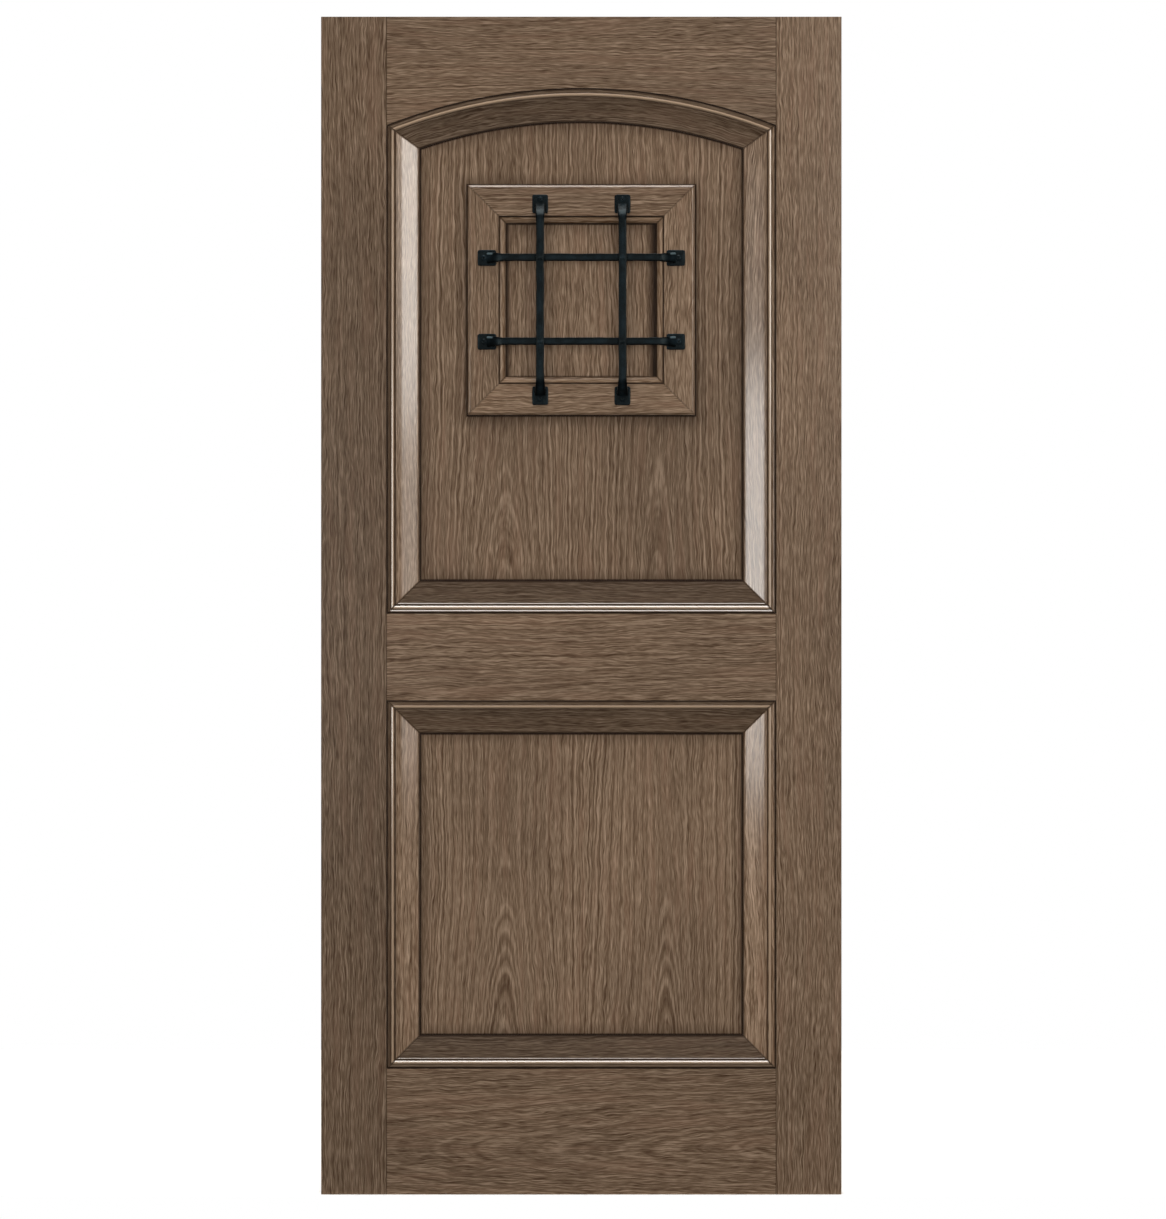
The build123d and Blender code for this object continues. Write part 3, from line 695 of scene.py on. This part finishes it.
# Stop bead: its front is a shallow parabola from full depth at the trim down to the nosing
def stopProfile():
    t = np.linspace(0, 1, stop["steps"] + 2)[1:-1]
    chord = np.array([stop["width"] - stop["edge"], stop["nosing"] - stop["depth"]])
    normal = np.array([-chord[1], chord[0]]) / np.linalg.norm(chord)
    front = np.array([stop["edge"], stop["depth"]]) + t[:, None] * chord
    front += (4 * stop["bulge"] * t * (1 - t))[:, None] * normal
    outer = [(stop["edge"], 0), (stop["edge"], stop["depth"])]
    inner = [(stop["width"], stop["nosing"]), (stop["width"], 0)]
    ease = [0, stop["ease"][0]] + [0] * len(t) + [stop["ease"][1], 0]
    return easedOutline(np.concatenate([outer, front, inner]), ease) * mm


stopOutline = stopProfile()
stopPaintedLight = np.interp(stopOutline[:, 0] / mm, *stop["paintedLightAndJoints"])
stopWidth, gaps = stop["width"] * mm, np.array([fit, 0, stop["headGap"]]) * mm
outerLow, outerHigh = stopLow - gaps, stopHigh + gaps
stopSides = frameSides(outerLow[0], outerHigh[0], outerLow[2], outerHigh[2], stopWidth)
for index, (pair, sides) in enumerate(pairs.items()):
    name = "hatch_stop_bead_" + pair
    runs = [straightRun(stopOutline, stopWidth, stopSides[side], stopHigh[1], -1) for side in sides]
    parts = [gridPart(places, grain, withMitres(stopPaintedLight, len(places))) for places, grain in runs]
    sweptOak(name, parts, stop, "seeds", index, tone=stop["tone"], polish=stop["polish"])
print("hatch casing and stops swept")

# Pads under the bars' feet, in mm; rings: share of the rim, height, and darkening: painted shade at the
# seat and a darker face
pad = {
    "length": 32.6, "width": 28.0, "thickness": 3.0, "squareness": 2 / 9, "steps": 72,
    "ragged": 0.014, "rimRadius": 14, "rimWaves": (6, 30), "faceFrom": 2.9, "faceDents": 0.1,
    "rings": (
        (1, 0, 0.9), (1, 2.0, 0.8), (0.985, 2.45, 0.3), (0.955, 2.75, 0.1), (0.91, 2.9, 0.3),
        (0.75, 2.95, 0.6), (0.5, 3.0, 0.7), (0.25, 3.0, 0.7), (0, 3.0, 0.7),
    ),
    "screwInset": {"top": 8.6, "other": 11.0},
    "screwSeat": 2.9,
}

# In mm; wobble, swelling and drift: how far, and the shortest and longest wave
bars = {
    "width": {"horizontal": 13.0, "vertical": 13.9},
    "thickness": 6.0,
    "standoff": {"horizontal": 12.0, "vertical": 18.2},
    "squareness": 0.36,
    "footInset": 16.0, "footWidth": 18.5, "flareMost": 1.15,
    "legRun": 17.0, "legEnd": 0.8, "lowest": 0.3, "bendRadius": 26.0,
    "crossingSwell": 0.55, "crossingReach": 5.5,
    "wobble": (0.16, 14, 60), "swelling": (0.1, 12, 50), "drift": (0.22, 60, 200),
    "paintedShadeOver": (0.34, 0.74),  # shares of the half width
    "paintedHighlightOver": (0.5, 0.7),
    "legOver": (0.8, 1.0),  # shares of the full slope
    "levelSteps": 70, "bendSteps": 8, "legSteps": 13, "aroundSteps": 32,
}


# Centre line of half a bar: level, then an arc down through the slope, then the straight slanted leg
def barLine(halfLength, standoff, width):
    b = bars
    middle = standoff + b["thickness"] / 2
    slope = np.arctan2(standoff + b["thickness"] - pad["thickness"], b["legRun"])
    foot = halfLength - b["footInset"] - b["thickness"] / 2 / np.sin(slope)
    knee = foot - (middle - pad["thickness"]) / np.tan(slope)
    bendStart = knee - b["bendRadius"] * np.tan(slope / 2)
    level = np.linspace(0, bendStart, b["levelSteps"])
    bend = np.linspace(0, slope, b["bendSteps"] + 1)[1:]
    leg = np.linspace(0, 1, b["legSteps"] + 1)[1:]
    bendAlong = bendStart + b["bendRadius"] * np.sin(bend)
    bendAway = middle - b["bendRadius"] * (1 - np.cos(bend))
    reach = (bendAway[-1] - b["legEnd"]) / np.sin(slope)
    along = np.concatenate([level, bendAlong, bendAlong[-1] + leg * reach * np.cos(slope)])
    away = np.concatenate([level * 0 + middle, bendAway, bendAway[-1] - leg * reach * np.sin(slope)])
    angle = np.concatenate([level * 0, bend, leg * 0 + slope])
    flare = np.clip((along - bendStart) / (foot - bendStart), 0, b["flareMost"]) * (b["footWidth"] - width)
    return along, away, angle, flare


# Superellipse: the cosine and the sine of each angle raised to a power below 1, with their signs kept
def squareRing(around, power):
    return [np.sign(wave) * np.abs(wave) ** power for wave in (np.cos(around), np.sin(around))]


# Forged bar: a squarish superellipse carried along the centre line, a little uneven, wider at crossings;
# its sides get painted shade, and the legs of a level bar get a painted highlight along their upper edge
def barPart(halfLength, standoff, width, crossings, seed, upright):
    half = zip((-1, 1, -1, 1), barLine(halfLength, standoff, width))
    along, away, angle, flare = (np.concatenate([sign * line[:0:-1], line]) for sign, line in half)
    wobble, swelling, drift = (
        bars[kind][0] * unevenness(along, *bars[kind][1:], seed + shift)
        for shift, kind in enumerate(("wobble", "swelling", "drift"))
    )
    swell = sum(np.exp(-(((along - place) / bars["crossingReach"]) ** 2)) for place in crossings)
    halfWidth = (width + flare) / 2 + swell * bars["crossingSwell"] + wobble
    halfThick = bars["thickness"] / 2 - bars["swelling"][0] + swelling
    around = np.linspace(0, turn, bars["aroundSteps"], endpoint=False)
    shapeX, shapeY = squareRing(around, bars["squareness"])
    across = drift[:, None] + halfWidth[:, None] * shapeX
    rise = halfThick[:, None] * shapeY
    height = np.maximum(away[:, None] + rise * np.cos(angle)[:, None], bars["lowest"])
    forward = along[:, None] + rise * np.sin(angle)[:, None]
    dark = np.interp(np.abs(shapeX), bars["paintedShadeOver"], (0, 1))
    slant = np.abs(angle) / np.abs(angle).max()
    onLegs = np.interp(slant, bars["legOver"], (0, 0 if upright else 1))[:, None]
    paintedHighlight = onLegs * np.interp(shapeX, bars["paintedHighlightOver"], (0, 1)) * (shapeY > -0.1)
    dark = dark * (1 - paintedHighlight) - paintedHighlight
    return np.stack([forward, across, height], axis=-1), dark


# Pad: a rounded rectangle with an uneven rim, drawn in ring by ring from its seat over a soft bevel to
# the middle of its face
def padPart(seed):
    around = np.linspace(0, turn, pad["steps"], endpoint=False)
    rimX, rimY = squareRing(around, pad["squareness"])
    waveX, waveY = pad["rimRadius"] * np.cos(around), pad["rimRadius"] * np.sin(around)
    rim = (unevenness(waveX, *pad["rimWaves"], seed) + unevenness(waveY, *pad["rimWaves"], seed + 1)) / 2
    ragged = 1 - pad["ragged"] + pad["ragged"] * rim
    draw, heights, dark = np.array(pad["rings"]).T[..., None]
    heights = heights + (heights > pad["faceFrom"]) * pad["faceDents"] * (rim - 1)
    x, y = rimX * pad["length"] / 2 * ragged * draw, rimY * pad["width"] / 2 * ragged * draw
    return np.stack([x, y, heights], axis=-1), dark + 0 * around


# A turned form: each point of the profile, (radius, height), goes once round the axis
def turnedPart(profile, centre, axis, steps=40, dark=0.0):
    axis = np.array(axis, dtype=float)
    side = np.cross(axis, (0.0, 0.0, 1.0))
    other = np.cross(axis, side)
    around = np.linspace(0, turn, steps, endpoint=False)
    ring = np.cos(around)[:, None] * side + np.sin(around)[:, None] * other
    places = profile[None, :, 0, None] * ring[:, None] + profile[None, :, 1, None] * axis
    return gridPart(places + np.array(centre), paintedLightAndJoints=dark, wrapRows=True, wrapCols=False, capped=False)


# From bar lengths to the leaf: along, across and off the trim's face become x, y and z
def onTrim(places, centre, upright):
    along, across, height = (places[..., index] * mm for index in range(3))
    x, z = (across, along) if upright else (along, across)
    return np.stack([centre[0] + x, leafFace[0] - height, centre[1] + z], axis=-1)


grilleIron = ironMaterial("black iron grille", 2.0)
barSpots, padEnds = {}, []
for name in ("horizontal_lower", "horizontal_upper", "vertical_left", "vertical_right"):
    low, high = boxOf("grille_bar_" + name)[:, [0, 2]]
    upright = name.startswith("vertical")
    barSpots["grille_bar_" + name] = (upright, (low + high) / 2, (high - low)[int(upright)] / 2 / mm)
columns = [centre[0] for upright, centre, half in barSpots.values() if upright]
rows = [centre[1] for upright, centre, half in barSpots.values() if not upright]
for seed, (node, (upright, centre, half)) in enumerate(barSpots.items()):
    direction = "vertical" if upright else "horizontal"
    crossings = [(place - centre[1 if upright else 0]) / mm for place in (rows if upright else columns)]
    standoff, width = bars["standoff"][direction], bars["width"][direction]
    places, dark = barPart(half, standoff, width, crossings, 10 * seed + 3, upright)
    parts = [gridPart(onTrim(places, centre, upright), paintedLightAndJoints=dark)]
    for end in (-1, 1):
        padPlaces, padDark = padPart(20 * seed + end + 5)
        padPlaces = padPlaces + np.array([end * (half - pad["length"] / 2), 0, 0])
        parts.append(gridPart(onTrim(padPlaces, centre, upright), paintedLightAndJoints=padDark, capped=False))
        inset = pad["screwInset"]["top" if upright and end == 1 else "other"]
        padEnds.append(onTrim(np.array([end * (half - inset), 0, pad["screwSeat"]]), centre, upright))
        parts[-1][1].append(list(range(pad["steps"])))  # the pad's seat
    makePiece(node + "_dressed", parts, grilleIron, "leaf", [node])

rivet = {"radius": 5.3, "height": 1.45, "backHeight": 1.5, "fall": 0.8, "sunk": 0.25}
rivet |= {"dimple": 0.35, "dimpleRadius": 1.1}


# Rivet head: a low dome whose height falls with the square of the radius, less a small bell-shaped dimple
def rivetProfile(height, dimple):
    r = np.linspace(0, 1, 12)
    bell = np.exp(-((r * rivet["radius"] / rivet["dimpleRadius"]) ** 2))
    dome = height * (1 - rivet["fall"] * r**2) - dimple * bell
    profile = np.stack([r * rivet["radius"], dome], axis=1)
    return np.concatenate([profile, [(rivet["radius"], -rivet["sunk"]), (0, -rivet["sunk"])]]) * mm


frontOfBars = boxOf("grille_bar_vertical_left")[0, 1]
backOfBars = leafFace[0] - bars["standoff"]["horizontal"] * mm
frontRivet, backRivet = rivetProfile(rivet["height"], rivet["dimple"]), rivetProfile(rivet["backHeight"], 0.0)
rivets = []
for x in columns:
    for z in rows:
        rivets.append(turnedPart(frontRivet, (x, frontOfBars, z), (0, -1, 0)))
        rivets.append(turnedPart(backRivet, (x, backOfBars, z), (0, 1, 0)))
makePiece("grille_rivets_dressed", rivets, grilleIron, "leaf", ["grille_rivets"])

padScrew = {"radius": 5.2, "height": 1.6, "socket": 1.7, "socketDepth": 1.6}
hingeScrew = {"radius": 2.1, "height": 0.35, "socket": 0.7, "socketDepth": 0.5}


# Screw head: a dome that falls with the cube of the distance from its round socket, sunk into its seat
def screwProfile(screw, socketFoot=0.8, sunk=0.3):
    radius, height, socket = screw["radius"], screw["height"], screw["socket"]
    t = np.linspace(0, 1, 8)
    dome = np.stack([socket + (radius - socket) * t, height * (1 - t**3)], axis=1)
    hollow = [(0, height - screw["socketDepth"]), (socket * socketFoot, height - screw["socketDepth"])]
    return np.concatenate([hollow, dome, [(radius, -sunk), (0, -sunk)]]) * mm


padScrewOutline = screwProfile(padScrew)
# Painted shade in the screws' sockets
socketDark = (padScrewOutline[:, 0] < 2.2 * mm).astype(float)
screws = [turnedPart(padScrewOutline, place, (0, -1, 0), 28, socketDark) for place in padEnds]
makePiece("pad_screws", screws, grilleIron, "leaf")

# Leaves of the butt hinges, in mm
hinge = {"height": 45, "thickness": 1.6, "screwSpread": 15.0, "movingInset": 11, "fixedInset": 5}
hingeScrewOutline = screwProfile(hingeScrew)
fixedLow, fixedHigh = boxOf("hatch_hinge_fixed_leaves")
movingEdge = boxOf("hatch_hinge_moving_leaves")[1, 0]
hingeIron = ironMaterial("black iron hatch fittings", 7.0)
leafMiddles = [fixedLow[2] + hinge["height"] * mm / 2, fixedHigh[2] - hinge["height"] * mm / 2]
spread, thickness = hinge["screwSpread"] * mm, hinge["thickness"] * mm
screwHeights = [middle + shift for middle in leafMiddles for shift in (-spread, spread)]
movingPlace = movingEdge - hinge["movingInset"] * mm, boxOf("hatch_shutter")[1, 1] + thickness
fixedPlace = trimLow[0] + trim["frontWidth"] * mm + thickness, fixedHigh[1] - hinge["fixedInset"] * mm
parts = [turnedPart(hingeScrewOutline, (*movingPlace, z), (0, 1, 0), 20) for z in screwHeights]
makePiece("moving_leaf_screws", parts, hingeIron, "shutter")


# Screws that face the opening: the same head turned about x, drawn with its axis along y and swapped
def turnedAcross(profile, centre):
    places, faces, grain, paintedLightAndJoints = turnedPart(profile, (0, 0, 0), (0, 1, 0), 20)
    return places[:, [1, 0, 2]] + np.array(centre), faces, grain, paintedLightAndJoints


parts = [turnedAcross(hingeScrewOutline, (*fixedPlace, z)) for z in screwHeights]
makePiece("fixed_leaf_screws", parts, hingeIron, "leaf")

knob = {
    "radius": (0, 8.0, 7.9, 6.4, 4.9, 4.5, 5.2, 8.0, 10.2, 11.0, 10.9, 9.6, 7.2, 4.0, 0),
    "height": (0, 0, 1.6, 3.2, 6.0, 9.5, 11.8, 13.4, 15.4, 17.8, 19.4, 21.8, 23.2, 23.9, 24.0),
    "stepsBetween": 5,
    "steps": 60,
}


# Turned pull: cubics through the listed points, whose slope at each point is half the step between the
# points beside it
def knobProfile():
    points = np.stack([knob["radius"], knob["height"]], axis=1).astype(float)
    padded = np.concatenate([points[:1], points, points[-1:]])
    t = np.linspace(0, 1, knob["stepsBetween"], endpoint=False)[None, :, None]
    a, b, c, d = (padded[shift : len(padded) - 3 + shift, None] for shift in range(4))
    curve = 0.5 * (2 * b + (c - a) * t + (2 * a - 5 * b + 4 * c - d) * t**2 + (3 * b - a - 3 * c + d) * t**3)
    smooth = np.concatenate([curve.reshape(-1, 2), points[-1:]])
    return np.clip(smooth, 0, points.max(axis=0)) * mm


knobLow, knobHigh = boxOf("hatch_knob")
knobFoot = ((knobLow[0] + knobHigh[0]) / 2, knobLow[1], (knobLow[2] + knobHigh[2]) / 2)
knobPart = turnedPart(knobProfile(), knobFoot, (0, 1, 0), knob["steps"])
makePiece("hatch_knob_dressed", [knobPart], hingeIron, "shutter", ["hatch_knob"])
for node in ("hatch_hinge_fixed_leaves", "hatch_hinge_moving_leaves", "hatch_hinge_pins"):
    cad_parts[node].material_slots[0].material = hingeIron
print("iron forged")

studio = {
    "fill": 0.15, "darkFront": 0.035, "paleBack": 0.30, "paleFrom": 0.3,
    "floorColour": (226, 225, 223), "floorGlow": 0.45, "floorRoughness": 0.9, "floorShine": 0.1,
    "floorLow": (-1.6, -0.03), "floorHigh": (2.5, 2.6), "floorDrop": 0.2 * mm,
}


# Plain pale floor, with a glow that only the camera, reflections and glass see, so that it stays white
def makeFloor():
    (left, front), (right, back) = studio["floorLow"], studio["floorHigh"]
    mesh = bpy.data.meshes.new("floor")
    corners = (left, front), (right, front), (right, back), (left, back)
    mesh.from_pydata([(*corner, -studio["floorDrop"]) for corner in corners], [], [(0, 1, 2, 3)])
    material, tree, shader = newMaterial("pale floor")
    path = put(tree, "ShaderNodeLightPath").outputs
    mirrored = calc(tree, "MAXIMUM", path["Is Glossy Ray"], path["Is Transmission Ray"])
    seen = calc(tree, "MAXIMUM", path["Is Camera Ray"], mirrored)
    glow = calc(tree, "MULTIPLY", seen, studio["floorGlow"])
    finish = {"Base Color": paint(*studio["floorColour"]), "Roughness": studio["floorRoughness"]}
    finish |= {"Specular IOR Level": studio["floorShine"], "Emission Color": (1, 1, 1, 1)}
    feed(tree, shader, finish | {"Emission Strength": glow})
    mesh.materials.append(material)
    floor = bpy.data.objects.new("floor", mesh)
    bpy.context.scene.collection.objects.link(floor)


# White for the camera; reflections see a pale level behind the leaf and a dark one in front of it
def makeWorld():
    world = bpy.context.scene.world or bpy.data.worlds.new("studio")
    bpy.context.scene.world = world
    world.use_nodes = True
    tree = world.node_tree
    path = put(tree, "ShaderNodeLightPath").outputs
    towards = put(tree, "ShaderNodeTexCoord").outputs["Generated"]
    direction = put(tree, "ShaderNodeSeparateXYZ", {"Vector": towards}).outputs
    behind = fade(tree, direction["Y"], 0.0, studio["paleFrom"], studio["darkFront"], studio["paleBack"])
    level = blendValue(tree, path["Is Glossy Ray"], studio["fill"], behind)
    seen = calc(tree, "MAXIMUM", path["Is Camera Ray"], path["Is Transmission Ray"])
    strength = blendValue(tree, seen, level, 1.0)
    feed(tree, tree.nodes["Background"], {"Color": (1, 1, 1, 1), "Strength": strength})


# Rectangular lamp that faces its target; its energy is its radiance times pi times its area
def softbox(name, centre, target, size, radiance, colour, mirrored=True):
    light = bpy.data.lights.new(name, "AREA")
    light.shape = "RECTANGLE"
    light.size, light.size_y = size
    light.energy = radiance * np.pi * size[0] * size[1]
    light.color = colour
    lamp = bpy.data.objects.new(name, light)
    lamp.location = centre
    aim = Vector(target) - Vector(centre)
    lamp.rotation_euler = aim.to_track_quat("-Z", "Y").to_euler()
    lamp.visible_camera = False
    lamp.visible_glossy = mirrored
    bpy.context.scene.collection.objects.link(lamp)


makeFloor()
makeWorld()
soft, warm, warmer = (1.0, 0.97, 0.93), (1.0, 0.96, 0.92), (1.0, 0.96, 0.90)
softbox("right softbox", (2.87, -5.85, 2.25), (0.45, 0, 1.5), (2.75, 1.3), 8.4, warmer)
softbox("right lower softbox", (2.87, -5.85, 1.05), (0.45, 0, 1.1), (2.75, 1.1), 2.1, warmer)
softbox("right outer softbox", (4.9, -5.0, 2.3), (0.15, 0, 1.5), (1.3, 1.4), 2.0, (1.0, 0.95, 0.88))
softbox("left softbox", (-2.18, -5.59, 1.1), (0.45, 0, 1.1), (3.15, 1.3), 7.6, soft)
softbox("left upper softbox", (-2.18, -5.59, 2.08), (0.45, 0, 1.5), (3.15, 0.62), 0.8, soft)
softbox("front softbox", (0.45, -6.6, 4.6), (0.45, 0, 1.1), (2.6, 2.6), 4.6, warm, mirrored=False)
softbox("overhead softbox", (0.45, -1.5, 6.0), (0.45, -1.5, 0.0), (1.7, 3.6), 12.0, (1.0, 0.98, 0.96))
softbox("back side softbox", (-2.5, 5.2, 1.9), (0.45, 0, 1.2), (1.8, 2.2), 8.0, soft)
softbox("left edge softbox", (-5.2, 1.3, 1.4), (0, 0, 1.1), (1.6, 2.2), 11.0, soft, mirrored=False)
softbox("right edge softbox", (6.1, 1.3, 1.4), (0.9, 0, 1.1), (1.6, 2.2), 11.0, soft, mirrored=False)
softbox("back softbox", (0.45, 6.0, 3.4), (0.45, 0, 1.0), (2.6, 2.6), 5.0, warm, mirrored=False)

shot = {"distance": 8.0, "x": 451.9 * mm, "z": 1009.3 * mm, "height": 2103.0 * mm, "sensor": 24.0, "far": 60}
camera = bpy.data.cameras.new("camera")
camera.sensor_fit = "VERTICAL"
camera.sensor_height = shot["sensor"]
camera.lens = shot["sensor"] * shot["distance"] / shot["height"]
camera.clip_end = shot["far"]
eye = bpy.data.objects.new("camera", camera)
eye.location = (shot["x"], leafFace[0] - shot["distance"], shot["z"])
eye.rotation_euler = (np.pi / 2, 0, 0)
bpy.context.scene.collection.objects.link(eye)
bpy.context.scene.camera = eye
bpy.context.scene.view_settings.view_transform = "Standard"
print("studio set")
